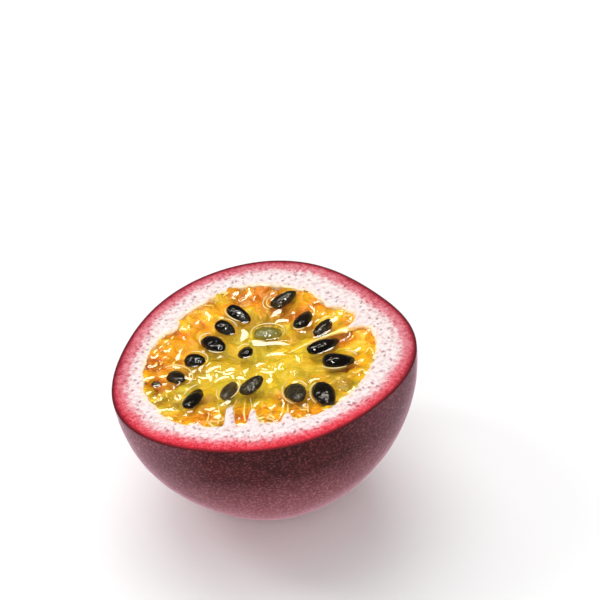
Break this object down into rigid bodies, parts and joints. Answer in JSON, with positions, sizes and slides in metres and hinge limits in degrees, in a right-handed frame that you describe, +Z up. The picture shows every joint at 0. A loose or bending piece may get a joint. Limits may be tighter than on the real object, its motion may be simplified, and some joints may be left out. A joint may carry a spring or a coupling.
{
  "type": "passion fruit half",
  "caption": "Half a purple passion fruit, cut across its middle: thick peel with white pith round a hollow filled with yellow-orange pulp and dark seeds.",
  "frame": {"origin": "centre of the small flat spot under the round end, where the half rests, on the ground plane z = 0", "axes": "+Z up. The cut faces up and is tipped 7.5 degrees towards -X. -Y is the side towards the viewer, and +X is to the viewer's right"},
  "size_m": [0.0506, 0.0504, 0.0324],
  "materials": {
    "peel": "satin purple skin, matt white pith at the cut",
    "pulp": "wet, translucent"
  },
  "bodies": {
    "root": {"peel": "peel", "pulp": "pulp"}
  },
  "joints": []
}
